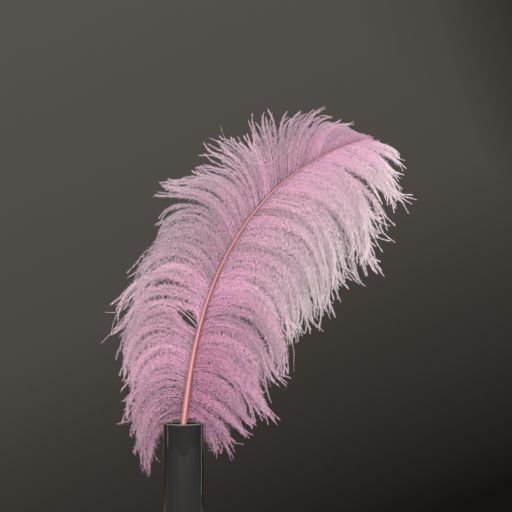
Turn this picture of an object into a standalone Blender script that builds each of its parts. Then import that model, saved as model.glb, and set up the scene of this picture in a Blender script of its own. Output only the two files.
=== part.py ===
"""An ostrich plume standing in a plain glass cylinder vase.

Metres, +Z up. The origin is the centre of the vase's foot. The plume is seen face on from -Y: its shaft leans
out of the vase and arches over towards +X, and its tip nods forward, towards -Y. "Left" is -X and "right" is +X.
The vase is turned, the shaft is a tapering tube, and each vane is a thin curved sheet swept by its barbs, which
leave the shaft at an angle, arch over and hang down.
"""

import math

import bpy
import numpy as np

# Vase: a straight glass cylinder with a thick floor.
VASE_HEIGHT = 0.160
VASE_RADIUS = 0.024
VASE_WALL = 0.0032
VASE_FLOOR = 0.020
FLOOR_WALL = 0.0048  # the wall thickens towards the floor, as blown glass does
HEEL_RADIUS = 0.0020  # rounding where the outside meets the foot
FLOOR_CORNER = 0.0050  # rounding where the cavity's wall meets its floor
VASE_STEPS = 56
ARC_STEPS = 5

# Shaft: the bare quill stands in the vase, and the feathered rachis rises from the rim.
RACHIS_LENGTH = 0.4395
QUILL_RADIUS = 0.0043
TIP_RADIUS = 0.0003
QUILL_END_RADIUS = 0.0022
QUILL_END_LENGTH = 0.014  # the quill narrows over this length to its end
RIM_GAP = 0.0004  # left between the quill and the glass it leans on
TAPER_POWER = 1.85  # the rachis thins as this power of what is left of its length
LEAN_DEG = 6.3  # the quill's lean towards +X
BEND_DEG = 71.4  # how much further the rachis bends towards +X by its tip
BEND_POWER = 1.64
BACK_DEG = 7.0  # the quill's lean away from the viewer, towards +Y
NOD_DEG = 34.0  # how far the tip nods forward from that lean
NOD_POWER = 1.6
RACHIS_POINTS = 40
QUILL_POINTS = 9
TUBE_RESOLUTION = 2
COURSE_STEPS = 160  # short steps summed to find a point of the rachis

# Vanes: one sheet of barbs each side of the rachis.
VANE_THICKNESS = 0.0015
VANE_START = 0.012  # share of the rachis that is bare above the rim
VANE_GAP = 0.0006  # clear space between the shaft and a vane's inner edge
ROWS = 34  # along the shaft
COLUMNS = 11  # from the shaft to the barb tips
STEPS_EACH = 12  # short steps summed from one column to the next
FALL_DEG = 5.0  # how steeply a barb falls away from the viewer at its root and at its tip
CUP_DEG = 22.0  # and how much more steeply halfway along it

# Each list gives (share of the rachis, value). Angles are in degrees from the upright, + towards +X.
LEFT = {
    "side": -1,
    "splay": [(0.0, 66), (0.12, 56), (0.30, 50), (0.72, 50), (0.80, 44), (0.88, 33), (0.95, 20), (1.0, 8)],
    "hang": [(0.0, -196), (0.12, -165), (0.25, -142), (0.38, -136), (0.50, -118), (0.62, -75),
             (0.73, -25), (0.80, 5), (0.88, 50), (0.95, 92), (1.0, 110)],
    "arch": [(0.0, 0.65), (0.12, 1.0), (0.25, 1.5), (0.40, 2.0), (1.0, 2.0)],
    "length": [(0.0, 0.108), (0.06, 0.114), (0.14, 0.110), (0.22, 0.128), (0.27, 0.138), (0.38, 0.130),
               (0.50, 0.122), (0.62, 0.105), (0.73, 0.089), (0.82, 0.071), (0.90, 0.047), (1.0, 0.022)],
}
RIGHT = {
    "side": 1,
    "splay": [(0.0, 64), (0.15, 54), (0.50, 46), (0.80, 42), (0.92, 28), (1.0, 8)],
    "hang": [(0.0, 186), (0.10, 165), (0.25, 168), (0.55, 172), (0.72, 168), (0.86, 156), (1.0, 128)],
    "arch": [(0.0, 0.7), (0.12, 0.9), (0.30, 1.3), (1.0, 1.5)],
    "length": [(0.0, 0.078), (0.06, 0.098), (0.14, 0.118), (0.22, 0.138), (0.34, 0.155), (0.57, 0.163),
               (0.70, 0.156), (0.82, 0.138), (0.92, 0.110), (1.0, 0.068)],
}

GLASS = {"colour": (0.05, 0.05, 0.05, 1.0), "roughness": 0.04, "metallic": 0.0}
DYED_QUILL = {"colour": (0.72, 0.27, 0.25, 1.0), "roughness": 0.38, "metallic": 0.0}
DYED_DOWN = {"colour": (0.66, 0.35, 0.46, 1.0), "roughness": 0.85, "metallic": 0.0}


def clear_scene():
    for obj in list(bpy.data.objects):
        bpy.data.objects.remove(obj)


def new_material(name, look):
    material = bpy.data.materials.new(name)
    material.use_nodes = True
    shader = material.node_tree.nodes["Principled BSDF"]
    shader.inputs["Base Color"].default_value = look["colour"]
    shader.inputs["Roughness"].default_value = look["roughness"]
    shader.inputs["Metallic"].default_value = look["metallic"]
    material.diffuse_color = look["colour"]
    return material


def along(stations, share):
    """The value at a share of the rachis: a cubic between stations, its slopes taken from their neighbours."""
    places, values = np.array(stations, float).T
    steps = np.diff(values) / np.diff(places)
    slopes = np.concatenate([steps[:1], (steps[1:] + steps[:-1]) / 2, steps[-1:]])
    i = int(np.clip(np.searchsorted(places, share) - 1, 0, len(places) - 2))
    width = places[i + 1] - places[i]
    t = (share - places[i]) / width
    rise = values[i + 1] - values[i]
    ease = t * t * (3 - 2 * t)
    return values[i] + rise * ease + width * (slopes[i] * t * (1 - t) ** 2 - slopes[i + 1] * t * t * (1 - t))


def direction(turn, back):
    """The unit vector at an angle from the upright, in the viewer's plane, and an angle away from the viewer."""
    return np.array([math.sin(turn) * math.cos(back), math.sin(back), math.cos(turn) * math.cos(back)])


def turn_of(share):
    """The rachis's angle from the upright: it bends faster and faster towards its tip."""
    return math.radians(LEAN_DEG + BEND_DEG * max(share, 0.0) ** BEND_POWER)


def back_of(share):
    """The rachis's angle away from the viewer: it leans back at the rim and nods forward at the tip."""
    return math.radians(BACK_DEG - NOD_DEG * max(share, 0.0) ** NOD_POWER)


def shaft_radius(share):
    """Even over the quill, then tapering to the tip, fastest at first."""
    return TIP_RADIUS + (QUILL_RADIUS - TIP_RADIUS) * (1 - max(share, 0.0)) ** TAPER_POWER


def rim_point():
    """Where the shaft's middle passes the rim: it leans on the rim's back, halfway across."""
    return np.array([0.0, VASE_RADIUS - VASE_WALL - QUILL_RADIUS - RIM_GAP, VASE_HEIGHT])


def rachis_point(share, steps=COURSE_STEPS):
    """The rachis's middle at a share of its length: the sum of short steps from the rim."""
    middles = (np.arange(steps) + 0.5) * share / steps
    walked = sum(direction(turn_of(m), back_of(m)) for m in middles)
    return rim_point() + walked * RACHIS_LENGTH * share / steps


def barb_points(vane, share, count=COLUMNS, steps_each=STEPS_EACH):
    """One barb's middle, from beside the shaft to its tip. Its angle from the upright turns from the splay at its
    root to the hang at its tip, and it falls away from the viewer, most steeply halfway along, so that a barb's
    hanging end is behind the barbs below it."""
    root_turn = turn_of(share) + vane["side"] * math.radians(along(vane["splay"], share))
    tip_turn = math.radians(along(vane["hang"], share))
    root_back = back_of(share) * math.cos(math.radians(along(vane["splay"], share)))
    arch = along(vane["arch"], share)
    length = along(vane["length"], share)
    sideways = direction(turn_of(share) + vane["side"] * math.pi / 2, 0.0)
    point = rachis_point(share) + sideways * (shaft_radius(share) + VANE_GAP)
    found = [point]
    steps = (count - 1) * steps_each
    for step in range(steps):
        t = (step + 0.5) / steps
        turn = root_turn + (tip_turn - root_turn) * math.sin(math.pi * t / 2) ** arch
        back = root_back * (1 - t) + math.radians(FALL_DEG + CUP_DEG * math.sin(math.pi * t))
        point = point + direction(turn, back) * length / steps
        if (step + 1) % steps_each == 0:
            found.append(point)
    return found


def arc(centre, radius, start_deg, end_deg, steps=ARC_STEPS):
    """Points of an arc in the profile's plane, as (distance from the axis, height)."""
    angles = np.radians(np.linspace(start_deg, end_deg, steps + 1))
    return [(centre[0] + radius * math.cos(a), centre[1] + radius * math.sin(a)) for a in angles]


def vase_profile():
    """From the middle of the cavity's floor, up the inside, over the round lip and down to the foot's middle."""
    floor_radius = VASE_RADIUS - FLOOR_WALL
    lip = VASE_WALL / 2
    profile = [(0.0, VASE_FLOOR)]
    profile += arc((floor_radius - FLOOR_CORNER, VASE_FLOOR + FLOOR_CORNER), FLOOR_CORNER, -90, 0)
    profile += arc((VASE_RADIUS - lip, VASE_HEIGHT - lip), lip, 180, 0, 2 * ARC_STEPS)
    profile += arc((VASE_RADIUS - HEEL_RADIUS, HEEL_RADIUS), HEEL_RADIUS, 0, -90)
    return profile + [(0.0, 0.0)]


def make_vase(collection, material):
    points = [(r, 0.0, z) for r, z in vase_profile()]
    mesh = bpy.data.meshes.new("vase")
    mesh.from_pydata(points, [(i, i + 1) for i in range(len(points) - 1)], [])
    vase = bpy.data.objects.new("vase", mesh)
    collection.objects.link(vase)
    screw = vase.modifiers.new("turned", "SCREW")
    screw.axis = "Z"
    screw.steps = screw.render_steps = VASE_STEPS
    screw.use_merge_vertices = True
    screw.merge_threshold = 0.00001
    screw.use_smooth_shade = True
    mesh.materials.append(material)
    return vase


def shaft_course():
    """(point, radius) from the quill's end on the vase's floor to the tip of the rachis."""
    down = -direction(turn_of(0.0), back_of(0.0))
    quill_length = (VASE_HEIGHT - VASE_FLOOR - QUILL_END_RADIUS) / -down[2]
    course = []
    for i in range(QUILL_POINTS):
        depth = quill_length * (1 - (i / QUILL_POINTS) ** 1.5)
        grown = min(1.0, (quill_length - depth) / QUILL_END_LENGTH)
        radius = QUILL_END_RADIUS + (QUILL_RADIUS - QUILL_END_RADIUS) * math.sin(grown * math.pi / 2)
        course.append((rim_point() + down * depth, radius))
    for i in range(RACHIS_POINTS + 1):
        share = i / RACHIS_POINTS
        course.append((rachis_point(share), shaft_radius(share)))
    return course


def make_shaft(collection, material):
    course = shaft_course()
    curve = bpy.data.curves.new("shaft", "CURVE")
    curve.dimensions = "3D"
    curve.bevel_depth = QUILL_RADIUS
    curve.bevel_resolution = TUBE_RESOLUTION
    curve.use_fill_caps = True
    spline = curve.splines.new("POLY")
    spline.points.add(len(course) - 1)
    for point, (place, radius) in zip(spline.points, course):
        point.co = (*place, 1.0)
        point.radius = radius / QUILL_RADIUS
    shaft = bpy.data.objects.new("shaft", curve)
    collection.objects.link(shaft)
    curve.materials.append(material)
    return shaft


def make_vane(name, vane, collection, material):
    """A grid of points with one barb to a row, thickened to a sheet."""
    shares = [VANE_START + (1 - VANE_START) * row / (ROWS - 1) for row in range(ROWS)]
    points = [point for share in shares for point in barb_points(vane, share)]
    faces = []
    for row in range(ROWS - 1):
        for column in range(COLUMNS - 1):
            low = row * COLUMNS + column
            face = (low, low + 1, low + COLUMNS + 1, low + COLUMNS)
            faces.append(face if vane["side"] > 0 else face[::-1])
    mesh = bpy.data.meshes.new(name)
    mesh.from_pydata([tuple(p) for p in points], [], faces)
    mesh.shade_smooth()
    sheet = bpy.data.objects.new(name, mesh)
    collection.objects.link(sheet)
    solidify = sheet.modifiers.new("thickness", "SOLIDIFY")
    solidify.thickness = VANE_THICKNESS
    solidify.offset = 0.0
    mesh.materials.append(material)
    return sheet


def main():
    clear_scene()
    collection = bpy.data.collections.new("ostrich_feather_in_vase")
    bpy.context.scene.collection.children.link(collection)
    down_material = new_material("dyed_down", DYED_DOWN)
    make_vase(collection, new_material("smoked_glass", GLASS))
    make_shaft(collection, new_material("dyed_quill", DYED_QUILL))
    make_vane("left_vane", LEFT, collection, down_material)
    make_vane("right_vane", RIGHT, collection, down_material)


main()
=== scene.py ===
"""The looks of a dyed ostrich plume standing in a smoked glass cylinder vase.

Metres, +Z up, origin at the centre of the vase's foot. The plume is seen face on from -Y, and its shaft arches over
towards +X. Each vane is several hundred barbs: a barb is a thin tapering stem, its ramus, that leaves the shaft at
an angle, arches over and hangs, with soft barbules all along it. Barbs gather in locks, which close to a point.
"""

from math import pi, radians

import bpy
import numpy as np
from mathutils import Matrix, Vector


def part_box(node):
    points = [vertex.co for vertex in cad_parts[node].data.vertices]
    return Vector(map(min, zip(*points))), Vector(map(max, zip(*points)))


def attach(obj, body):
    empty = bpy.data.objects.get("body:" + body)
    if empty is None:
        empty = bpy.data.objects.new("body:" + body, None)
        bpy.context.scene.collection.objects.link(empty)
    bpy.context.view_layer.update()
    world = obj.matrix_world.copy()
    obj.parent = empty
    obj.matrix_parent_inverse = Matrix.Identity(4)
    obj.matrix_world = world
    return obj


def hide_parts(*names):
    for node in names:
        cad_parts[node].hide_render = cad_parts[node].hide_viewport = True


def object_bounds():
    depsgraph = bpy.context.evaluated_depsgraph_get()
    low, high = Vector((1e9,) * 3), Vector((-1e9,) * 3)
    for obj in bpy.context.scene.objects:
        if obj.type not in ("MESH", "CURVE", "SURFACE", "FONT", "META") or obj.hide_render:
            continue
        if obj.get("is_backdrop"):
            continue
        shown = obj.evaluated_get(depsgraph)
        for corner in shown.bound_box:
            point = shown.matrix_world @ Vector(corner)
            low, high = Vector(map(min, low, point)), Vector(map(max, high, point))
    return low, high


bl_info = {
    "name": "Ostrich Plume in a Vase",
    "version": (1, 0, 0),
    "blender": (4, 5, 0),
    "location": "View3D > Sidebar > Plume",
    "description": "Builds a dyed ostrich plume, barb by barb, standing in a glass cylinder vase",
    "category": "Add Mesh",
}

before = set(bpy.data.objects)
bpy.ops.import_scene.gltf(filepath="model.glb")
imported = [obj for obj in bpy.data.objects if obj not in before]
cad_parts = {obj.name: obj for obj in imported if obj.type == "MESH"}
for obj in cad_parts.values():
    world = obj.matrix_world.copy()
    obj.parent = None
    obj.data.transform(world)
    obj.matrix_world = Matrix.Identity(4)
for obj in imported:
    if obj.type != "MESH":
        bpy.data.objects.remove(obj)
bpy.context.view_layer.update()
VASE_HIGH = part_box("vase")[1]
SHAFT_LOW, SHAFT_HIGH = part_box("shaft")
BODY = "root"

# The rachis's course, as the solid shaft has it: angles in degrees, + towards +X or away from the viewer.
LEAN, BEND, BEND_POWER = 6.3, 71.4, 1.64
BACK, NOD, NOD_POWER = 7.0, 34.0, 1.6
TAPER_POWER = 1.85
COURSE_STEPS = 1200
COURSE_TOLERANCE = 0.003
QUILL_END_RADIUS = 0.0022
QUILL_END_LENGTH = 0.014  # over which the quill grows to its full radius
GROOVE_DEPTH, GROOVE_WIDTH = 0.15, 0.12

VASE_WALL = 0.0032
VASE_FLOOR = 0.020  # height of the floor inside, which meets the wall in a round corner
VASE_FLOOR_WALL = 0.0048
VASE_CORNER, VASE_HEEL = 0.0050, 0.0020
LIP_START, LIP_END = 0.45, 0.10  # where the lip's painted highlight starts and is full, in walls below the rim
RIM_GAP = 0.0004  # between the rim's inside and the shaft
RIM_CLEARANCE = 0.0012  # from the rim to the barbs that pass over it

# Stations along the rachis, as (share of its length above the rim, value). Angles are in degrees, lengths in metres.
# splay: a barb's angle to the shaft at its root. hang: its tip's angle from the upright, + towards +X.
# arch: how late it bends. length: the barb's. down: its barbules' length, and sweep their angle to it.
# gather: how far wisps close to a lock, and close: how far barbs close to a wisp, by their tips.
# stray: how much hang varies. hook: how much tips curl beyond hang. puff: how far a lock bulges forward.
# The table of mean brightness along the rachis is painted light and shade: the down is made lighter where it is to
# look lit and darker where it is to look shaded. pale: how pale roots are, and fade: how much paler tips are.
# side is -1 for the vane towards -X, and point is the share of their length that barbules lose by a barb's tip.
LEFT_VANE = {
    "side": -1,
    "point": 0.55,
    "splay": [(0.0, 96), (0.05, 70), (0.12, 56), (0.30, 50), (0.72, 50), (0.80, 47), (0.88, 42), (0.95, 34),
              (1.0, 22)],
    "hang": [(0.0, -172), (0.12, -170), (0.25, -166), (0.36, -153), (0.50, -118), (0.62, -68),
             (0.70, -20), (0.76, 28), (0.82, 68), (0.88, 96), (0.95, 122), (1.0, 138)],
    "arch": [(0.0, 0.60), (0.06, 0.75), (0.12, 1.0), (0.25, 1.6), (0.40, 2.0), (0.60, 2.1), (0.74, 3.2),
             (0.88, 3.0), (1.0, 2.0)],
    "length": [(0.0, 0.088), (0.06, 0.106), (0.14, 0.110), (0.22, 0.132), (0.28, 0.150), (0.38, 0.132),
               (0.50, 0.122), (0.62, 0.105), (0.73, 0.085), (0.82, 0.070), (0.90, 0.046), (1.0, 0.012)],
    "down": [(0.0, 0.0062), (0.30, 0.0060), (0.50, 0.0048), (0.65, 0.0042), (0.80, 0.0038), (1.0, 0.0030)],
    "sweep": [(0.0, 58), (0.40, 54), (0.60, 46), (1.0, 40)],
    "gather": [(0.0, 0.50), (0.40, 0.40), (0.60, 0.18), (0.75, 0.05), (1.0, 0.0)],
    "close": [(0.0, 0.68), (0.50, 0.66), (0.70, 0.45), (0.80, 0.20), (1.0, 0.15)],
    "stray": [(0.0, 7.0), (0.40, 6.0), (0.60, 7.0), (0.70, 2.5), (1.0, 1.5)],
    "hook": [(0.0, 0), (0.62, 0), (0.76, 25), (1.0, 30)],
    # Painted light and shade: the down's brightness along this vane's rachis.
    "tone_and_shading": [(0.0, 0.05), (0.12, 0.46), (0.40, 0.22), (1.0, 0.02)],
    "pale": [(0.0, 0.08), (0.30, 0.17), (0.60, 0.13), (1.0, 0.08)],
    "fade": [(0.0, 0.18), (0.20, 0.42), (0.40, 0.60), (0.70, 0.48), (1.0, 0.35)],
    "puff": [(0.0, 0.007), (0.40, 0.006), (0.60, 0.004), (1.0, 0.003)],
}
RIGHT_VANE = {
    "side": 1,
    "point": 0.75,
    "splay": [(0.0, 118), (0.05, 86), (0.12, 64), (0.20, 52), (0.50, 46), (0.80, 42), (0.92, 34), (1.0, 26)],
    "hang": [(0.0, 172), (0.03, 160), (0.08, 144), (0.16, 162), (0.26, 178), (0.40, 180), (0.55, 176),
             (0.72, 168), (0.86, 157), (0.95, 142), (1.0, 100)],
    "arch": [(0.0, 0.45), (0.10, 0.55), (0.20, 0.9), (0.30, 1.15), (0.50, 1.4), (1.0, 1.3)],
    "length": [(0.0, 0.064), (0.03, 0.074), (0.07, 0.092), (0.14, 0.118), (0.22, 0.138), (0.34, 0.155),
               (0.57, 0.163), (0.70, 0.154), (0.82, 0.128), (0.92, 0.088), (1.0, 0.050)],
    "down": [(0.0, 0.0056), (0.20, 0.0066), (0.60, 0.0066), (0.85, 0.0054), (1.0, 0.0040)],
    "sweep": [(0.0, 60), (0.60, 58), (0.85, 48), (1.0, 40)],
    "gather": [(0.0, 0.50), (0.50, 0.56), (0.70, 0.44), (0.85, 0.36), (1.0, 0.15)],
    "close": [(0.0, 0.74), (0.60, 0.80), (0.85, 0.85), (1.0, 0.60)],
    "stray": [(0.0, 6.0), (0.60, 6.0), (0.85, 9.0), (1.0, 8.0)],
    "hook": [(0.0, 0), (0.93, 0), (0.97, 10), (1.0, 35)],
    # Painted light and shade: the down's brightness along this vane's rachis.
    "tone_and_shading": [(0.0, -0.2), (0.12, 0.0), (0.22, 0.36), (0.35, 0.60), (0.60, 0.46), (0.80, 0.68), (1.0, 0.55)],
    "pale": [(0.0, 0.03), (0.30, 0.05), (0.50, 0.15), (1.0, 0.15)],
    "fade": [(0.0, 0.18), (0.15, 0.32), (0.35, 0.75), (0.55, 1.0), (1.0, 1.0)],
    "puff": [(0.0, 0.008), (0.60, 0.010), (0.85, 0.005), (1.0, 0.002)],
}

# Degrees that barbs fall away from the viewer: at both ends, and how much more halfway along.
FALL = [(0.0, 3.5), (0.50, 3.5), (0.80, 0.5), (1.0, -1.0)]
CUP = [(0.0, 21.0), (0.50, 21.0), (0.80, 9.0), (1.0, 6.0)]
ROOT_SIDE, ROOT_FRONT = 0.84, 0.5  # where barbs leave the shaft: radii to its side and towards the viewer
VANE_START = 0.003  # share of the rachis that is bare above the rim
PARTING = 0.257  # where the left vane's barbs part and leave a window
PARTING_WIDTH = 0.036
PARTING_TURNS = (-34.0, 42.0)  # degrees that barbs just below it and just above it turn away from it at first
PARTING_BARE = 0.45  # how many more barbs are bare at its middle
LOCK_WIDTH = 0.030  # a lock's mean width along the rachis, as a share of it
WISP_WIDTH = 0.010  # the same for a wisp of a few barbs
BARE_SHARE = 0.04  # of the barbs have lost most of their barbules and stray

# How much barbs vary, as standard deviations: angles in degrees, and lengths and tones as shares.
TUFT_HANG = 0.8  # of a lock or a wisp, times its vane's stray
TUFT_LENGTH = 0.06
WISP_CURL, WISP_WAVE = 24.0, 5.0
BARB_ROOT, BARB_HANG, BARB_CURL, BARB_LIFT = 0.9, 3.0, 18.0, 2.5
BARB_LENGTH = 0.12
BARE_SPREADS = (("hang", 9.0), ("curl", 30.0), ("wave", 10.0))
BARBULE_TILT, BARBULE_SWEEP = 42.0, 17.0
LOCK_TONE, WISP_TONE, BARB_TONE, BARBULE_TONE = 0.18, 0.14, 0.06, 0.22

BARB_STEPS = 20
RAMUS_SIDES = 3
SHAFT_SIDES = 24
VASE_SIDES = 128
PIECE_TRIANGLES = 194000  # of one mesh of barbs, with the triangles of its rami and barbules
BAKE_MAP = "OFBake"

FLOOR_BACK = 0.30  # how far the floor reaches behind the vase
LIGHTS = [  # name, place, width and height in metres, power setting and the share of it
    ("key", (-0.7, -2.9, 0.75), 1.5, 1.2, "key_power", 1.0),
    ("fill", (1.7, -2.5, 0.95), 1.5, 1.2, "fill_power", 1.0),
    ("back", (-0.5, 1.7, 1.9), 1.4, 1.0, "back_power", 1.0),
    ("left strip", (-1.68, 0.29, -0.15), 0.08, 0.6, "strip_power", 1.0),
    ("right strip", (0.95, 0.73, -0.05), 0.04, 0.6, "strip_power", 0.3),
]


class PlumeSettings(bpy.types.PropertyGroup):
    """Sizes and colours of the plume."""

    rachis_length: bpy.props.FloatProperty(
        name="Rachis length", description="Length of the feathered shaft above the vase's rim", default=0.4395,
        min=0.1, max=1.0, unit="LENGTH")
    quill_radius: bpy.props.FloatProperty(
        name="Quill radius", description="Radius of the shaft where it passes the rim", default=0.0043,
        min=0.001, max=0.01, unit="LENGTH")
    tip_radius: bpy.props.FloatProperty(
        name="Tip radius", description="Radius of the shaft at its tip", default=0.0003, min=0.0001, max=0.002,
        unit="LENGTH")
    barbs: bpy.props.IntProperty(
        name="Barbs", description="Number of barbs on each side of the shaft", default=330, min=20, max=600)
    ramus_radius: bpy.props.FloatProperty(
        name="Ramus radius", description="Radius of a barb's stem at its root", default=0.00022, min=0.00005,
        max=0.001, unit="LENGTH")
    barbule_width: bpy.props.FloatProperty(
        name="Barbule width", description="Width of a barbule at its root, wider than real so that it shows",
        default=0.00042, min=0.00005, max=0.001, unit="LENGTH")
    seed: bpy.props.IntProperty(name="Seed", description="Start of the random draws", default=7, min=0)
    dye_foot: bpy.props.FloatVectorProperty(
        name="Dye at the foot", description="Colour of the down near the vase", subtype="COLOR",
        default=(0.84, 0.37, 0.57), min=0.0, max=1.0)
    dye_root: bpy.props.FloatVectorProperty(
        name="Dye near the shaft", description="Colour of the down near the shaft", subtype="COLOR",
        default=(0.87, 0.52, 0.70), min=0.0, max=1.0)
    dye_tip: bpy.props.FloatVectorProperty(
        name="Dye at the tips", description="Colour of the down at the barbs' tips", subtype="COLOR",
        default=(0.93, 0.82, 0.86), min=0.0, max=1.0)


class StageSettings(bpy.types.PropertyGroup):
    """Sizes of the floor, the camera's place and the strength of the lights."""

    floor_width: bpy.props.FloatProperty(
        name="Floor width", description="Width of the floor", default=3.2, min=0.3, max=10.0, unit="LENGTH")
    floor_depth: bpy.props.FloatProperty(
        name="Floor depth", description="Depth of the floor, which ends 0.30 m behind the vase", default=1.8,
        min=0.6, max=10.0, unit="LENGTH")
    distance: bpy.props.FloatProperty(
        name="Camera distance", description="From the camera to the vase's axis", default=2.0, min=0.5, max=10.0,
        unit="LENGTH")
    aim_side: bpy.props.FloatProperty(
        name="Camera offset", description="How far to the vase's right the camera stands", default=0.087,
        unit="LENGTH")
    aim_height: bpy.props.FloatProperty(
        name="Camera height", description="The level camera's height above the floor", default=0.360,
        unit="LENGTH")
    field: bpy.props.FloatProperty(
        name="Field", description="Width of the view at the vase", default=0.6144, min=0.1, max=5.0,
        unit="LENGTH")
    key_power: bpy.props.FloatProperty(
        name="Key light", description="Power of the large soft light at the front left", default=147.0, min=0.0,
        unit="POWER")
    fill_power: bpy.props.FloatProperty(
        name="Fill light", description="Power of the light from the right", default=86.0, min=0.0, unit="POWER")
    back_power: bpy.props.FloatProperty(
        name="Back light", description="Power of the high light behind", default=26.0, min=0.0, unit="POWER")
    strip_power: bpy.props.FloatProperty(
        name="Strip lights", description="Power of the thin lights that draw a line up each side of the vase",
        default=3.2, min=0.0, unit="POWER")


def srgb(code):
    """An sRGB hex colour as linear values with alpha 1: each channel over 0.04045 is ((c + 0.055) / 1.055) ** 2.4."""
    channels = np.array([int(code[i:i + 2], 16) for i in (1, 3, 5)]) / 255.0
    linear = np.where(channels <= 0.04045, channels / 12.92, ((channels + 0.055) / 1.055) ** 2.4)
    return (*linear.tolist(), 1.0)


def add_node(tree, kind, settings=None, **links):
    """A node of a kind, with its attributes or input values set, and inputs linked from other nodes' sockets."""
    node = tree.nodes.new(kind)
    for name, value in (settings or {}).items():
        if isinstance(name, int) or name in node.inputs:
            node.inputs[name].default_value = value
        else:
            setattr(node, name, value)
    for name, socket in links.items():
        place = int(name[1:]) if name[1:].isdigit() else name.replace("_", " ")
        tree.links.new(socket, node.inputs[place])
    return node


def new_material(name, **values):
    """An empty node material with a Principled shader, whose uniform values are set on the shader itself."""
    material = bpy.data.materials.new(name)
    material.use_nodes = True
    tree = material.node_tree
    tree.nodes.clear()
    shader = add_node(tree, "ShaderNodeBsdfPrincipled", {k.replace("_", " "): v for k, v in values.items()})
    add_node(tree, "ShaderNodeOutputMaterial", None, Surface=shader.outputs["BSDF"])
    return material, tree, shader


def ramp(tree, factor, stops):
    """A colour ramp over a factor, from (position, colour) stops."""
    node = add_node(tree, "ShaderNodeValToRGB", None, Fac=factor)
    elements = node.color_ramp.elements
    while len(elements) < len(stops):
        elements.new(0.5)
    for element, (place, colour) in zip(elements, stops):
        element.position = place
        element.color = colour
    return node


def ostrich_down():
    """Ostrich down, dyed in a bath: matt, deepest near the shaft and paler and greyer towards the tips, where the
    fine barbules took less dye. The dye's uptake wanders over about 25 mm and differs from lock to lock. Its
    brightness also carries painted light and shade: each vane's table lightens the down where it is to look lit
    and darkens it where it is to look shaded."""
    plume = bpy.context.scene.plume
    material, tree, shader = new_material("ostrich_down", Roughness=0.5, Specular_IOR_Level=0.35)
    foot, root, tip = (*plume.dye_foot, 1.0), (*plume.dye_root, 1.0), (*plume.dye_tip, 1.0)
    middle = tuple(0.5 * a + 0.5 * b for a, b in zip(root, tip))
    along_barb = add_node(tree, "ShaderNodeAttribute", {"attribute_name": "dye"})
    # Painted light and shade: this per-corner brightness carries each vane's table of painted light and shade along
    # with random tone.
    tone_and_shading = add_node(tree, "ShaderNodeAttribute", {"attribute_name": "tone_and_shading"})
    colour = ramp(tree, along_barb.outputs["Fac"], [(0.0, foot), (0.15, root), (0.50, middle), (1.0, tip)])
    place = add_node(tree, "ShaderNodeTexCoord")
    uptake = add_node(tree, "ShaderNodeTexNoise", {"Scale": 1 / 0.025}, Vector=place.outputs["Object"])
    mixed = add_node(tree, "ShaderNodeMath", {"operation": "MULTIPLY_ADD", 1: 0.5},
                     _0=uptake.outputs["Fac"], _2=tone_and_shading.outputs["Fac"])
    brightness = add_node(tree, "ShaderNodeMapRange",
                          {"From Min": 0.1, "From Max": 0.9, "To Min": 0.74, "To Max": 1.12},
                          Value=mixed.outputs[0])
    tinted = add_node(tree, "ShaderNodeHueSaturation", None, Value=brightness.outputs[0],
                      Color=colour.outputs["Color"])
    tree.links.new(tinted.outputs["Color"], shader.inputs["Base Color"])
    through = add_node(tree, "ShaderNodeBsdfTranslucent", None, Color=tinted.outputs["Color"])
    both = add_node(tree, "ShaderNodeMixShader", {"Fac": 0.35}, _1=shader.outputs["BSDF"],
                    _2=through.outputs["BSDF"])
    tree.links.new(both.outputs["Shader"], tree.nodes["Material Output"].inputs["Surface"])
    return material


def dyed_keratin():
    """Keratin dyed coral: smooth and satin. Its colour carries painted light and shade: palest along its left, as if
    lit from there, and deepening to a dark red along its right as painted shade, with a painted lightening to a
    clear coral towards the thin tip, where the barbs arching over it shade it. Its streaks are drawn 0.8 mm wide,
    coarser than real, so that they show."""
    material, tree, shader = new_material("dyed_keratin", Roughness=0.45, IOR=1.55)
    across = add_node(tree, "ShaderNodeAttribute", {"attribute_name": "across"})
    # Painted light and shade: from a pale colour on the ring's left, as lit, to a dark red on its right, as shaded.
    colour = ramp(tree, across.outputs["Fac"], [(0.0, srgb("#966563")), (0.35, srgb("#8E5452")),
                                                (0.60, srgb("#844646")), (0.85, srgb("#7A3A40")),
                                                (1.0, srgb("#6A3038"))])
    place = add_node(tree, "ShaderNodeTexCoord")
    stretched = add_node(tree, "ShaderNodeMapping", {"Scale": (1 / 0.0008, 1 / 0.0008, 1 / 0.012)},
                         Vector=place.outputs["Object"])
    streaks = add_node(tree, "ShaderNodeTexNoise", {"Scale": 1.0, "Detail": 3.0},
                       Vector=stretched.outputs["Vector"])
    lift = add_node(tree, "ShaderNodeMapRange", {"From Min": 0.3, "From Max": 0.7, "To Min": 0.9, "To Max": 1.08},
                    Value=streaks.outputs["Fac"])
    # Painted light: the thin tip is lightened to a clearer coral against the shade of the barbs that arch over it.
    tip_painted_light = add_node(tree, "ShaderNodeAttribute", {"attribute_name": "tip_painted_light"})
    brighter = add_node(tree, "ShaderNodeMix", {"data_type": "RGBA", 7: srgb("#B26C69")}, _0=tip_painted_light.outputs["Fac"],
                        _6=colour.outputs["Color"])
    tinted = add_node(tree, "ShaderNodeHueSaturation", None, Value=lift.outputs[0], Color=brighter.outputs[2])
    tree.links.new(tinted.outputs["Color"], shader.inputs["Base Color"])
    bump = add_node(tree, "ShaderNodeBump", {"Strength": 0.15, "Distance": 0.0002}, Height=streaks.outputs["Fac"])
    tree.links.new(bump.outputs["Normal"], shader.inputs["Normal"])
    return material


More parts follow.
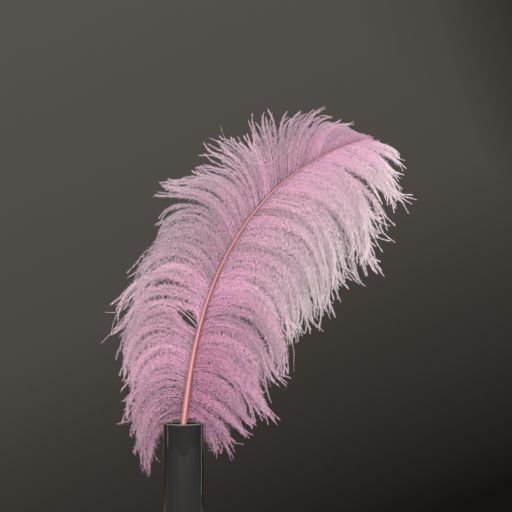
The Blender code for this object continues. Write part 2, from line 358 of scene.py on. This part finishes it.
def drawn_smoked_glass():
    """Drawn glass smoked so deeply that it is near black: what the eye sees is the smooth surface, which mirrors the
    floor as a faint grey and draws thin bright lines up both sides. Faint drawing lines run up the tube, and the
    fire-polished lip carries a painted highlight: its colour is lifted to a pale grey, standing in for light carried
    up inside the wall that comes out there."""
    material, tree, shader = new_material("drawn_smoked_glass", Roughness=0.03, IOR=1.52, Specular_IOR_Level=0.08)
    place = add_node(tree, "ShaderNodeTexCoord")
    stretched = add_node(tree, "ShaderNodeMapping", {"Scale": (1 / 0.003, 1 / 0.003, 1 / 0.15)},
                         Vector=place.outputs["Object"])
    lines = add_node(tree, "ShaderNodeTexNoise", {"Scale": 1.0}, Vector=stretched.outputs["Vector"])
    colour = ramp(tree, lines.outputs["Fac"], [(0.3, srgb("#1E1D1C")), (0.7, srgb("#21201F"))])
    # Painted highlight: the lip's colour is lifted to a pale grey, as if light glowed out of the glass edge.
    lip = add_node(tree, "ShaderNodeAttribute", {"attribute_name": "lip"})
    lip_painted_highlight = add_node(tree, "ShaderNodeMix", {"data_type": "RGBA", 7: srgb("#6B6762")}, _0=lip.outputs["Fac"],
                     _6=colour.outputs["Color"])
    tree.links.new(lip_painted_highlight.outputs[2], shader.inputs["Base Color"])
    return material


def pale_floor():
    """Matt painted board: a plain pale ground, faintly uneven as rolled paint is."""
    material, tree, shader = new_material("pale_floor", Roughness=0.8)
    place = add_node(tree, "ShaderNodeTexCoord")
    mottle = add_node(tree, "ShaderNodeTexNoise", {"Scale": 1 / 0.05}, Vector=place.outputs["Object"])
    colour = ramp(tree, mottle.outputs["Fac"], [(0.3, srgb("#CFCBC4")), (0.7, srgb("#DAD6CF"))])
    tree.links.new(colour.outputs["Color"], shader.inputs["Base Color"])
    return material


def along(stations, shares):
    """Values at shares of the rachis: a cubic between stations, with each station's slope taken from its
    neighbours."""
    places, values = np.array(stations, float).T
    rises = np.diff(values) / np.diff(places)
    slopes = np.concatenate([rises[:1], (rises[1:] + rises[:-1]) / 2, rises[-1:]])
    i = np.clip(np.searchsorted(places, shares) - 1, 0, len(places) - 2)
    width = places[i + 1] - places[i]
    t = (shares - places[i]) / width
    ease = t * t * (3 - 2 * t)
    bends = slopes[i] * t * (1 - t) ** 2 - slopes[i + 1] * t * t * (1 - t)
    return values[i] + (values[i + 1] - values[i]) * ease + width * bends


def direction(turn, back):
    """Unit vectors at angles from the upright, in the viewer's plane, and angles away from the viewer:
    (sin turn cos back, sin back, cos turn cos back)."""
    return np.stack([np.sin(turn) * np.cos(back), np.sin(back), np.cos(turn) * np.cos(back)], axis=-1)


def turn_of(shares):
    """The rachis's angle from the upright: the lean plus the bend times the share to a power."""
    return np.radians(LEAN + BEND * np.maximum(shares, 0.0) ** BEND_POWER)


def back_of(shares):
    """The rachis's angle away from the viewer: the quill's, less the nod times the share to a power."""
    return np.radians(BACK - NOD * np.maximum(shares, 0.0) ** NOD_POWER)


def shaft_radius(shares):
    """The shaft's radius: even over the quill, then the tip's plus what is over it times (1 - share) to a power."""
    plume = bpy.context.scene.plume
    return plume.tip_radius + (plume.quill_radius - plume.tip_radius) * (1 - np.maximum(shares, 0.0)) ** TAPER_POWER


def rim_point():
    """Where the shaft's middle passes the rim, leaning on the back of it."""
    back = VASE_HIGH.y - VASE_WALL - bpy.context.scene.plume.quill_radius - RIM_GAP
    return np.array([0.0, back, VASE_HIGH.z])


def rachis(shares):
    """The rachis's middle at shares of its length: the running sum of short steps along its direction, read off by
    linear interpolation."""
    length = bpy.context.scene.plume.rachis_length
    middles = (np.arange(COURSE_STEPS) + 0.5) / COURSE_STEPS
    walked = np.cumsum(direction(turn_of(middles), back_of(middles)), axis=0) * length / COURSE_STEPS
    walked = np.vstack([np.zeros(3), walked])
    ends = np.linspace(0, 1, COURSE_STEPS + 1)
    return rim_point() + np.stack([np.interp(shares, ends, walked[:, k]) for k in range(3)], axis=-1)


def smooth(low, high, x):
    """0 below low, 1 above high and an even S between: 3s^2 - 2s^3."""
    s = np.clip((x - low) / (high - low), 0, 1)
    return s * s * (3 - 2 * s)


def unit(vectors):
    """The vectors at length 1."""
    return vectors / np.maximum(np.linalg.norm(vectors, axis=-1, keepdims=True), 1e-12)


def barb_lines(vane, shares, whims):
    """Middle lines of barbs, as (barbs, steps + 1, 3). A barb's angle from the upright goes from splay to hang as
    sin(pi t / 2) to the power of its arch, its angle away from the viewer is fall + cup sin(pi t), and the line is
    the running sum of steps in that direction. Whims add to the angles and scale the length: root and hang act at
    the barb's ends, part at its root, the other way a fifth along and no more from two fifths, curl over its last
    quarter, and lift and the wave grow with t."""
    t = (np.arange(BARB_STEPS) + 0.5) / BARB_STEPS
    splay = along(vane["splay"], shares)
    root_turn = turn_of(shares) + vane["side"] * np.radians(splay) + whims["root"]
    tip_turn = np.radians(along(vane["hang"], shares)) + whims["hang"]
    bend = np.sin(pi * t / 2)[None, :] ** along(vane["arch"], shares)[:, None]
    turn = root_turn[:, None] + (tip_turn - root_turn)[:, None] * bend
    turn = turn + whims["part"][:, None] * (1 - 2 * smooth(0.05, 0.22, t) + smooth(0.22, 0.40, t))
    turn = turn + whims["curl"][:, None] * smooth(0.72, 1.0, t)
    turn = turn + whims["wave"][:, None] * t * np.sin(2 * pi * (whims["pace"][:, None] * t + whims["phase"][:, None]))
    back = (back_of(shares) * np.cos(np.radians(splay)))[:, None] * (1 - t)
    fall, cup = along(FALL, shares)[:, None], along(CUP, shares)[:, None]
    back = back + np.radians(fall + cup * np.sin(pi * t)) + whims["lift"][:, None] * t
    length = along(vane["length"], shares) * whims["length"]
    steps = direction(turn, back) * (length / BARB_STEPS)[:, None, None]
    sideways = direction(turn_of(shares) + vane["side"] * pi / 2, np.zeros_like(shares))
    root = (sideways * ROOT_SIDE + np.array([0, -ROOT_FRONT, 0])) * shaft_radius(shares)[:, None]
    start = rachis(shares) + root
    return np.concatenate([start[:, None], start[:, None] + np.cumsum(steps, axis=1)], axis=1)


def no_whims(count):
    """Whims that change nothing: angles in radians, the wave's pace and phase in turns, and the length's factor."""
    names = ("root", "part", "hang", "curl", "wave", "pace", "phase", "lift")
    return {**{name: np.zeros(count) for name in names}, "length": np.ones(count)}


def bunches(shares, width, rng):
    """Neighbouring barbs in bunches: each barb's bunch number, its bunch's middle share and its place across the
    bunch from -1 to 1. Bunches follow each other with random widths around the mean."""
    widths = width * rng.uniform(0.6, 1.4, int(2 / width))
    edges = np.concatenate([[0.0], np.cumsum(widths)])
    bunch = np.searchsorted(edges, shares, side="right") - 1
    middle = np.minimum((edges[bunch] + edges[bunch + 1]) / 2, 1.0)
    return bunch, middle, (shares - middle) / (widths[bunch] / 2)


def parted(vane, shares):
    """How near shares are to the parting, as exp(-distance), and how far barbs there turn away from it at first, in
    radians."""
    if vane["side"] > 0:
        return np.zeros((2, len(shares)))
    offset = (shares - PARTING) / PARTING_WIDTH
    near = np.exp(-np.abs(offset))
    below, above = np.radians(PARTING_TURNS)
    return near, np.where(offset < 0, below, above) * near


def over_rim(lines):
    """Lines carried over the vase's rim: each is raised by how far its deepest point within the rim's reach lies
    below the rim, times (steps to a point / steps to the deepest point) ** 0.6 up to there, and evenly beyond."""
    within = np.hypot(lines[:, :, 0], lines[:, :, 1]) < VASE_HIGH.x + RIM_CLEARANCE
    depth = np.where(within, VASE_HIGH.z + RIM_CLEARANCE - lines[:, :, 2], 0.0)
    deepest = np.maximum(depth.argmax(axis=1), 1)
    grown = np.minimum(np.arange(lines.shape[1]) / deepest[:, None], 1.0) ** 0.6
    lines[:, :, 2] += np.maximum(depth.max(axis=1), 0.0)[:, None] * grown
    return lines


def groomed_barbs(vane, rng):
    """All of a vane's barbs: their lines, shares, tones and how bare they are. Three or four neighbours close to a
    pointed wisp, and several wisps to a lock, which bulges towards the viewer along its upper edge. Lines move
    towards their wisp's line, and that towards the lock's, by a pull that grows towards the tip."""
    count = bpy.context.scene.plume.barbs
    shares = VANE_START + (1 - VANE_START) * (np.arange(count) + rng.uniform(-0.3, 0.3, count)) / (count - 1)
    shares = np.clip(shares, VANE_START, 1.0)
    lock, lock_middle, across = bunches(shares, LOCK_WIDTH, rng)
    wisp, wisp_middle, _ = bunches(shares, WISP_WIDTH, rng)
    locks, wisps = lock.max() + 1, wisp.max() + 1
    stray = np.radians(along(vane["stray"], shares))
    shared = no_whims(count)
    shared["part"] = parted(vane, lock_middle)[1]
    shared["hang"] = rng.normal(0, TUFT_HANG, locks)[lock] * stray
    shared["length"] = 1 + rng.normal(0, TUFT_LENGTH, locks)[lock]
    tuft = no_whims(count)
    tuft["part"] = parted(vane, wisp_middle)[1]
    tuft["hang"] = shared["hang"] + rng.normal(0, TUFT_HANG, wisps)[wisp] * stray
    tuft["length"] = shared["length"] * (1 + rng.normal(0, TUFT_LENGTH, wisps)[wisp])
    tuft["curl"] = rng.normal(0, radians(WISP_CURL), wisps)[wisp] + along(vane["hook"], shares) * pi / 180
    tuft["wave"] = rng.normal(0, radians(WISP_WAVE), wisps)[wisp]
    tuft["pace"] = rng.uniform(1.2, 2.6, wisps)[wisp]
    tuft["phase"] = rng.uniform(0, 1, wisps)[wisp]
    own = {**tuft}
    near, turned = parted(vane, shares)
    bare = rng.uniform(0, 1, count) < BARE_SHARE + PARTING_BARE * near ** 2
    own["root"] = rng.normal(0, radians(BARB_ROOT), count)
    own["part"] = turned * np.where(bare, rng.uniform(-0.5, 1, count), 1.0)
    looser = 0.5 * stray + radians(BARB_HANG) + near ** 2 * radians(3 * BARB_HANG)
    own["hang"] = tuft["hang"] + rng.normal(0, 1, count) * looser
    own["length"] = tuft["length"] * (1.09 - np.abs(rng.normal(0, BARB_LENGTH, count)))
    own["curl"] = tuft["curl"] + rng.normal(0, radians(BARB_CURL), count)
    own["lift"] = rng.normal(0, radians(BARB_LIFT), count)
    for name, spread in BARE_SPREADS:
        own[name] = own[name] + bare * rng.normal(0, radians(spread), count)
    t = np.linspace(0, 1, BARB_STEPS + 1)
    loose = rng.uniform(0.55, 1.25, locks)[lock]
    pull = np.clip(along(vane["gather"], shares) * loose, 0, 0.9)[:, None] * smooth(0.4, 1.0, t)
    tufts = barb_lines(vane, wisp_middle, tuft)
    tufts = tufts + (barb_lines(vane, lock_middle, shared) - tufts) * pull[:, :, None]
    close = along(vane["close"], shares) * np.where(bare, 0.1, 1.0) * (1 - 0.7 * near ** 2)
    close = close[:, None] * smooth(0.15, 0.90, t) * (1 - 0.35 * smooth(0.86, 1.0, t))
    lines = barb_lines(vane, shares, own)
    lines = lines + (tufts - lines) * close[:, :, None]
    bulge = np.cos(pi / 2 * np.clip((across - 0.35) / 1.35, -1, 1))
    forward = (along(vane["puff"], shares) * bulge)[:, None] * np.sin(pi * t) ** 0.7
    lines[:, :, 1] -= forward
    # Painted light and shade: the vane's table lightens the down where it is to look lit and darkens it where it is
    # to look shaded; locks, wisps and barbs add random tone of their own.
    tone_and_shading = along(vane["tone_and_shading"], shares) + LOCK_TONE * rng.normal(0, 1, locks)[lock]
    tone_and_shading = tone_and_shading + WISP_TONE * rng.normal(0, 1, wisps)[wisp] + rng.normal(0, BARB_TONE, count)
    return over_rim(lines), shares, np.clip(tone_and_shading, 0, 1), bare


def band(rings, sides):
    """Triangles between rings of corners that follow each other, two for each side of a ring."""
    row, column = np.meshgrid(np.arange(rings - 1), np.arange(sides), indexing="ij")
    row, column = row.ravel(), column.ravel()
    after = (column + 1) % sides
    a, b = row * sides + column, row * sides + after
    c, d = (row + 1) * sides + after, (row + 1) * sides + column
    return np.concatenate([np.stack([a, b, c], 1), np.stack([a, c, d], 1)])


def fan(first, sides, peak):
    """Triangles from a ring, given its first corner, to one corner that closes it."""
    around = np.arange(sides)
    return np.stack([first + around, first + (around + 1) % sides, np.full(sides, peak)], 1)


def tubes(lines, radii):
    """Closed tapering tubes along lines: at each point a ring of RAMUS_SIDES, square to the line, of that point's
    radius, with the last point a single tip. Returns corners and triangles."""
    count, points = lines.shape[:2]
    tangent = unit(np.gradient(lines, axis=1))
    side = unit(np.cross(tangent, np.array([0.0, 1.0, 0.0])))
    normal = np.cross(side, tangent)
    angle = 2 * pi * np.arange(RAMUS_SIDES) / RAMUS_SIDES
    ring = (np.cos(angle)[:, None] * side[:, :, None] + np.sin(angle)[:, None] * normal[:, :, None])
    rings = lines[:, :-1, None] + ring[:, :-1] * radii[:, :-1, None, None]
    corners = np.concatenate([rings.reshape(count, -1, 3), lines[:, -1:]], axis=1)
    last = (points - 2) * RAMUS_SIDES
    one = np.concatenate([band(points - 1, RAMUS_SIDES), fan(last, RAMUS_SIDES, last + RAMUS_SIDES), [[2, 1, 0]]])
    every = one[None] + (np.arange(count) * corners.shape[1])[:, None, None]
    return corners.reshape(-1, 3), every.reshape(-1, 3)


def slivers(base, tip, width, turn):
    """Closed slivers of four faces, as a flattened barbule that twists once by a quarter: a short edge across the
    base, turned about the sliver by a given angle, and a shorter one across the tip, square to it."""
    aim = unit(tip - base)
    side = unit(np.cross(aim, np.array([0.3, 0.9, 0.1])))
    first = side * np.cos(turn)[:, None] + np.cross(aim, side) * np.sin(turn)[:, None]
    second = np.cross(aim, first)
    half = (width / 2)[:, None]
    corners = np.stack([base - first * half, base + first * half, tip - second * half * 0.7,
                        tip + second * half * 0.7], axis=1)
    one = np.array([[0, 1, 2], [0, 3, 1], [0, 2, 3], [1, 3, 2]])
    faces = one[None] + 4 * np.arange(len(base))[:, None, None]
    return corners.reshape(-1, 3), faces.reshape(-1, 3)


def mesh_object(name, corners, faces, material, floats=None, loop_map=None):
    """A mesh object from arrays of corners and triangles, smooth shaded, with float attributes on its corners and a
    bake map given for each face corner."""
    mesh = bpy.data.meshes.new(name)
    mesh.vertices.add(len(corners))
    mesh.vertices.foreach_set("co", np.ascontiguousarray(corners, np.float32).ravel())
    mesh.loops.add(faces.size)
    mesh.loops.foreach_set("vertex_index", np.ascontiguousarray(faces, np.int32).ravel())
    mesh.polygons.add(len(faces))
    mesh.polygons.foreach_set("loop_start", np.arange(0, faces.size, faces.shape[1], dtype=np.int32))
    mesh.polygons.foreach_set("use_smooth", np.ones(len(faces), bool))
    mesh.update(calc_edges=True)
    for key, values in (floats or {}).items():
        attribute = mesh.attributes.new(key, "FLOAT", "POINT")
        attribute.data.foreach_set("value", np.ascontiguousarray(values, np.float32))
    if loop_map is not None:
        layer = mesh.uv_layers.new(name=BAKE_MAP)
        layer.data.foreach_set("uv", np.ascontiguousarray(loop_map, np.float32).ravel())
    mesh.validate()
    mesh.materials.append(material)
    obj = bpy.data.objects.new(name, mesh)
    bpy.context.scene.collection.objects.link(obj)
    return obj


def barb_mesh(name, vane, lines, shares, tone_and_shading, bare, material, rng):
    """One mesh of barbs. A barbule starts on its barb's line, points forward along it by the vane's sweep, and out
    to the left or right with a spread towards and away from the viewer. Barbules are shared out by the barbs'
    lengths, and are longest halfway along a barb; most are short and a few reach far."""
    plume = bpy.context.scene.plume
    count = len(lines)
    t = np.linspace(0, 1, BARB_STEPS + 1)
    slim = np.clip(1 - 0.75 * t, 0.2, 1)
    radii = plume.ramus_radius * slim * (0.55 + 0.45 * (1 - shares))[:, None]
    stem_corners, stem_faces = tubes(lines, radii)
    reach = along(vane["length"], shares) * (0.45 + 0.55 * smooth(0.0, 0.12, shares))
    quota = ((PIECE_TRIANGLES - len(stem_faces)) // 4 * reach / reach.sum()).astype(int)
    owner = np.repeat(np.arange(count), quota)
    many = len(owner)
    rank = np.arange(many) - np.repeat(np.cumsum(quota) - quota, quota)
    place = 0.004 + 0.996 * ((rank + rng.uniform(0, 1, many)) / quota[owner]) ** 0.75
    at = np.minimum((place * BARB_STEPS).astype(int), BARB_STEPS - 1)
    start, end = lines[owner, at], lines[owner, at + 1]
    base = start + (end - start) * (place * BARB_STEPS - at)[:, None]
    tangent = unit(end - start)
    side = unit(np.cross(tangent, np.array([0.0, 1.0, 0.0])))
    normal = np.cross(side, tangent)
    hand = np.where(rng.uniform(0, 1, many) < 0.5, -1.0, 1.0)
    tilt = rng.normal(0, radians(BARBULE_TILT), many)
    sweep = np.radians(along(vane["sweep"], shares))[owner] + rng.normal(0, radians(BARBULE_SWEEP), many)
    sweep = np.clip(sweep * (1 - 0.45 * smooth(0.5, 1.0, place)), radians(6), radians(100))
    out = side * (hand * np.cos(tilt))[:, None] + normal * np.sin(tilt)[:, None]
    aim = tangent * np.cos(sweep)[:, None] + out * np.sin(sweep)[:, None]
    full = along(vane["down"], shares)[owner] * (0.45 + 0.55 * smooth(0.0, 0.3, place))
    full = full * (1 - vane["point"] * smooth(0.6, 1.0, place)) * (0.3 + 1.3 * rng.uniform(0, 1, many) ** 1.6)
    full = full * np.where(bare, 0.3, 1.0)[owner]
    tip = base + aim * full[:, None] + np.array([0, 0, -1.0]) * (full * 0.08)[:, None]
    width = plume.barbule_width * rng.uniform(0.7, 1.2, many)
    spike_corners, spike_faces = slivers(base, tip, width, rng.uniform(0, 2 * pi, many))
    corners = np.concatenate([stem_corners, spike_corners])
    faces = np.concatenate([stem_faces, spike_faces + len(stem_corners)])
    per_stem = len(stem_corners) // count
    stem_t = np.append(np.repeat(t[:-1], RAMUS_SIDES), 1.0)
    along_values = np.concatenate([np.tile(stem_t, count), np.repeat(place, 4)])
    # Each barb's brightness, with its painted light and shade, passes to its barbules with a random speckle.
    speckle = np.clip(tone_and_shading[owner] + rng.normal(0, BARBULE_TONE, many), 0, 1)
    tone_values = np.concatenate([np.repeat(tone_and_shading, per_stem), np.repeat(speckle, 4)])
    cell = np.concatenate([np.repeat(np.arange(count), per_stem), np.repeat(owner, 4)])
    dye = along_values * along(vane["fade"], shares)[cell] + along(vane["pale"], shares)[cell]
    loop_map = bake_map(faces, along_values, cell, count, len(stem_corners), len(stem_faces) // count)
    return mesh_object(name, corners, faces, material, {"dye": dye, "tone_and_shading": tone_values}, loop_map)


def bake_map(faces, along_values, cell, count, stems, stem_triangles):
    """Where each face corner lies on the bake map: across by its place along the barb, and up by its barb's own
    strip. A spike's corners are spread over the strip so that no face has zero width there."""
    corner = faces.ravel()
    u = along_values[corner] * 0.98 + 0.01
    order = np.tile([0.15, 0.5, 0.85], len(faces))
    spike = corner >= stems
    which = (corner - stems) % 4
    nudge = np.array([-0.002, 0.002, 0.0, 0.0])[which] * spike
    height = np.where(spike, np.array([0.15, 0.15, 0.4, 0.85])[which], order)
    cap = np.zeros(len(faces), bool)
    cap[stem_triangles - 1:count * stem_triangles:stem_triangles] = True
    nudge = np.where(np.repeat(cap, 3), np.tile([0.0, 0.004, 0.0], len(faces)), nudge)
    return np.stack([np.clip(u + nudge, 0, 1), (cell[corner] + height) / count], axis=1)


def plume_vane(name, node, vane, parts, seed):
    """A vane's barbs as one mesh for each stretch between the given shares."""
    rng = np.random.default_rng(seed)
    material = bpy.data.materials.get("ostrich_down") or ostrich_down()
    lines, shares, tone_and_shading, bare = groomed_barbs(vane, rng)
    for label, low, high in parts:
        picked = (shares >= low) & (shares < high)
        piece = barb_mesh(f"{name}_{label}", vane, lines[picked], shares[picked], tone_and_shading[picked],
                          bare[picked], material, rng)
        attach(piece, BODY)
        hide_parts(node)


class PLUME_OT_shaft(bpy.types.Operator):
    """Make the quill and the tapering rachis"""

    bl_idname = "plume.shaft"
    bl_label = "Shaft"

    def execute(self, context):
        """A tube round the quill and the rachis's course, with a radius that tapers to the tip. A shallow groove
        runs along the side away from the viewer: the ring's radius is less there by GROOVE_DEPTH exp(-d), where d
        is (1 - the sine of the angle round the ring) / GROOVE_WIDTH."""
        plume = context.scene.plume
        down = -direction(turn_of(np.zeros(1)), back_of(np.zeros(1)))[0]
        depth = (rim_point()[2] - SHAFT_LOW.z) / -down[2]
        below = depth * (1 - np.linspace(0, 1, 30, endpoint=False) ** 1.5)
        quill = rim_point() + down * below[:, None]
        shares = np.linspace(0, 1, 180)
        line = np.concatenate([quill, rachis(shares)])
        if abs(line[-1, 2] - SHAFT_HIGH.z) > COURSE_TOLERANCE:
            raise RuntimeError("the shaft's course doesn't end where the solid shaft does")
        grown = np.clip((depth - below) / QUILL_END_LENGTH, 0, 1)
        quill_radii = QUILL_END_RADIUS + (plume.quill_radius - QUILL_END_RADIUS) * np.sin(grown * pi / 2)
        radii = np.concatenate([quill_radii, shaft_radius(shares)])
        tangent = unit(np.gradient(line, axis=0))
        side = unit(np.cross(tangent, np.array([0.0, 1.0, 0.0])))
        normal = np.cross(side, tangent)
        angle = 2 * pi * np.arange(SHAFT_SIDES) / SHAFT_SIDES
        groove = 1 - GROOVE_DEPTH * np.exp(-(1 - np.sin(angle)) / GROOVE_WIDTH)
        ring = (np.cos(angle)[None, :, None] * side[:, None] + np.sin(angle)[None, :, None] * normal[:, None])
        corners = line[:, None] + ring * (radii[:, None] * groove)[:, :, None]
        count = len(line)
        end = count * SHAFT_SIDES
        faces = np.concatenate([band(count, SHAFT_SIDES), fan(0, SHAFT_SIDES, end)[:, [1, 0, 2]],
                                fan(end - SHAFT_SIDES, SHAFT_SIDES, end + 1)])
        points = np.concatenate([corners.reshape(-1, 3), line[:1], line[-1:] + tangent[-1:] * plume.tip_radius])
        # Painted light and shade: 0 on the ring's left, where the painted light falls, and 1 on its right, in painted
        # shade.
        across = np.concatenate([np.tile(0.5 - 0.5 * np.cos(angle), count), [0.5, 0.5]])
        # Painted light towards the tip, 0.8 at most, none on the quill.
        tip_painted_light = np.concatenate([np.zeros(len(quill)), 0.8 * smooth(0.35, 0.85, shares)])
        tip_painted_light = np.concatenate([np.repeat(tip_painted_light, SHAFT_SIDES), [0.0, 0.8]])
        piece = mesh_object("quill_and_rachis", points, faces, dyed_keratin(), {"across": across, "tip_painted_light": tip_painted_light})
        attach(piece, BODY)
        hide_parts("shaft")
        return {"FINISHED"}


class PLUME_OT_left_vane(bpy.types.Operator):
    """Make the barbs on the shaft's left"""

    bl_idname = "plume.left_vane"
    bl_label = "Left vane"

    def execute(self, context):
        parts = [("lower", 0.0, 0.5), ("upper", 0.5, 1.01)]
        plume_vane("left_barbs", "left_vane", LEFT_VANE, parts, context.scene.plume.seed)
        return {"FINISHED"}


class PLUME_OT_right_vane(bpy.types.Operator):
    """Make the barbs on the shaft's right"""

    bl_idname = "plume.right_vane"
    bl_label = "Right vane"

    def execute(self, context):
        parts = [("lower", 0.0, 0.36), ("middle", 0.36, 0.69), ("upper", 0.69, 1.01)]
        plume_vane("right_barbs", "right_vane", RIGHT_VANE, parts, context.scene.plume.seed + 1)
        return {"FINISHED"}


class PLUME_OT_vase(bpy.types.Operator):
    """Make the glass cylinder vase"""

    bl_idname = "plume.vase"
    bl_label = "Vase"

    def execute(self, context):
        """A profile turned about the axis: up the inside from the middle of its floor, over a round lip and down
        the outside to the middle of the foot."""
        radius, height, lip_radius = VASE_HIGH.x, VASE_HIGH.z, VASE_WALL / 2

        def arc(x, z, size, start, end, steps):
            angles = np.radians(np.linspace(start, end, steps + 1))
            return np.stack([x + size * np.cos(angles), z + size * np.sin(angles)], axis=1)

        profile = np.concatenate([
            arc(radius - VASE_FLOOR_WALL - VASE_CORNER, VASE_FLOOR + VASE_CORNER, VASE_CORNER, -90, 0, 10),
            arc(radius - lip_radius, height - lip_radius, lip_radius, 180, 0, 20),
            arc(radius - VASE_HEEL, VASE_HEEL, VASE_HEEL, 0, -90, 8)])
        angle = 2 * pi * np.arange(VASE_SIDES) / VASE_SIDES
        ring = np.stack([np.cos(angle), np.sin(angle), np.zeros(VASE_SIDES)], axis=1)
        corners = ring[None] * profile[:, 0, None, None]
        corners = corners + np.array([0, 0, 1.0]) * profile[:, 1, None, None]
        points = np.concatenate([corners.reshape(-1, 3), [[0, 0, VASE_FLOOR], [0, 0, 0]]])
        end = len(profile) * VASE_SIDES
        faces = np.concatenate([band(len(profile), VASE_SIDES), fan(0, VASE_SIDES, end)[:, [1, 0, 2]],
                                fan(end - VASE_SIDES, VASE_SIDES, end + 1)])[:, [0, 2, 1]]
        # Painted highlight: how far the pale painted glow of the lip has come, from nothing below to full at the rim.
        lip = smooth(height - LIP_START * VASE_WALL, height - LIP_END * VASE_WALL, points[:, 2])
        piece = mesh_object("glass_vase", points, faces, drawn_smoked_glass(), {"lip": lip})
        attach(piece, BODY)
        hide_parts("vase")
        return {"FINISHED"}


class PLUME_OT_stage(bpy.types.Operator):
    """Make the floor, lights, dim surroundings and camera"""

    bl_idname = "plume.stage"
    bl_label = "Stage"

    def execute(self, context):
        stage = context.scene.plume_stage
        half, back, front = stage.floor_width / 2, FLOOR_BACK, FLOOR_BACK - stage.floor_depth
        points = np.array([[-half, front, 0], [half, front, 0], [half, back, 0], [-half, back, 0]]) - (0, 0, 0.0002)
        floor = mesh_object("floor", points, np.array([[0, 1, 2], [0, 2, 3]]), pale_floor())
        floor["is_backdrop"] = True
        for name, place, width, height, power, share in LIGHTS:
            self.add_light(name, place, width, height, getattr(stage, power) * share)
        camera = bpy.data.objects.new("camera", bpy.data.cameras.new("camera"))
        context.scene.collection.objects.link(camera)
        camera.location = (stage.aim_side, -stage.distance, stage.aim_height)
        camera.rotation_euler = (pi / 2, 0, 0)
        camera.data.lens = camera.data.sensor_width * stage.distance / stage.field
        context.scene.camera = camera
        context.scene.view_settings.view_transform = "Standard"
        self.surround(context.scene)
        return {"FINISHED"}

    def add_light(self, name, place, width, height, power):
        """A rectangular soft light aimed at the plume's middle."""
        data = bpy.data.lights.new(name, "AREA")
        data.shape = "RECTANGLE"
        data.size = width
        data.size_y = height
        data.energy = power
        light = bpy.data.objects.new(name, data)
        bpy.context.scene.collection.objects.link(light)
        light.location = place
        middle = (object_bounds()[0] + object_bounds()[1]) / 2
        light.rotation_euler = (middle - light.location).to_track_quat("-Z", "Y").to_euler()

    def surround(self, scene):
        """A dim warm grey studio all round, lighter above the plume's middle and to its left."""
        world = bpy.data.worlds.new("studio")
        world.use_nodes = True
        scene.world = world
        tree = world.node_tree
        tree.nodes.clear()
        place = add_node(tree, "ShaderNodeTexCoord")
        axes = add_node(tree, "ShaderNodeSeparateXYZ", None, Vector=place.outputs["Generated"])
        across = add_node(tree, "ShaderNodeMath", {"operation": "MULTIPLY"}, _0=axes.outputs["X"],
                          _1=axes.outputs["Y"])
        tipped = add_node(tree, "ShaderNodeMath", {"operation": "MULTIPLY_ADD", 1: -0.45}, _0=across.outputs[0],
                          _2=axes.outputs["Z"])
        share = add_node(tree, "ShaderNodeMapRange", {"From Min": -0.2, "From Max": 0.2},
                         Value=tipped.outputs[0])
        corner = add_node(tree, "ShaderNodeMath", {"operation": "ADD"}, _0=across.outputs[0],
                          _1=axes.outputs["Z"])
        shade = add_node(tree, "ShaderNodeMapRange", {"From Min": 0.19, "From Max": 0.32, "To Max": 0.55},
                         Value=corner.outputs[0])
        shaded = add_node(tree, "ShaderNodeMath", {"operation": "SUBTRACT"}, _0=share.outputs[0],
                          _1=shade.outputs[0])
        colour = ramp(tree, shaded.outputs[0], [(0.0, srgb("#161411")), (0.165, srgb("#2E2A27")),
                                                (0.34, srgb("#3D3935")), (0.5, srgb("#4B4743")),
                                                (0.75, srgb("#514D49")), (1.0, srgb("#55524E"))])
        back = add_node(tree, "ShaderNodeBackground", None, Color=colour.outputs["Color"])
        add_node(tree, "ShaderNodeOutputWorld", None, Surface=back.outputs["Background"])


class PLUME_PT_panel(bpy.types.Panel):
    """The plume's settings and the buttons that make its pieces"""

    bl_idname = "PLUME_PT_panel"
    bl_label = "Ostrich Plume"
    bl_space_type = "VIEW_3D"
    bl_region_type = "UI"
    bl_category = "Plume"

    def draw(self, context):
        layout = self.layout
        for group in (context.scene.plume, context.scene.plume_stage):
            box = layout.box()
            for name in type(group).__annotations__:
                box.prop(group, name)
        for operator in OPERATORS:
            layout.operator(operator.bl_idname)


OPERATORS = (PLUME_OT_stage, PLUME_OT_vase, PLUME_OT_shaft, PLUME_OT_left_vane, PLUME_OT_right_vane)
CLASSES = (PlumeSettings, StageSettings, *OPERATORS, PLUME_PT_panel)


def register():
    for cls in CLASSES:
        bpy.utils.register_class(cls)
    bpy.types.Scene.plume = bpy.props.PointerProperty(type=PlumeSettings)
    bpy.types.Scene.plume_stage = bpy.props.PointerProperty(type=StageSettings)


def unregister():
    del bpy.types.Scene.plume_stage
    del bpy.types.Scene.plume
    for cls in reversed(CLASSES):
        bpy.utils.unregister_class(cls)


def main():
    register()
    bpy.ops.plume.stage()
    bpy.ops.plume.vase()
    bpy.ops.plume.shaft()
    bpy.ops.plume.left_vane()
    bpy.ops.plume.right_vane()


if __name__ == "__main__":
    main()
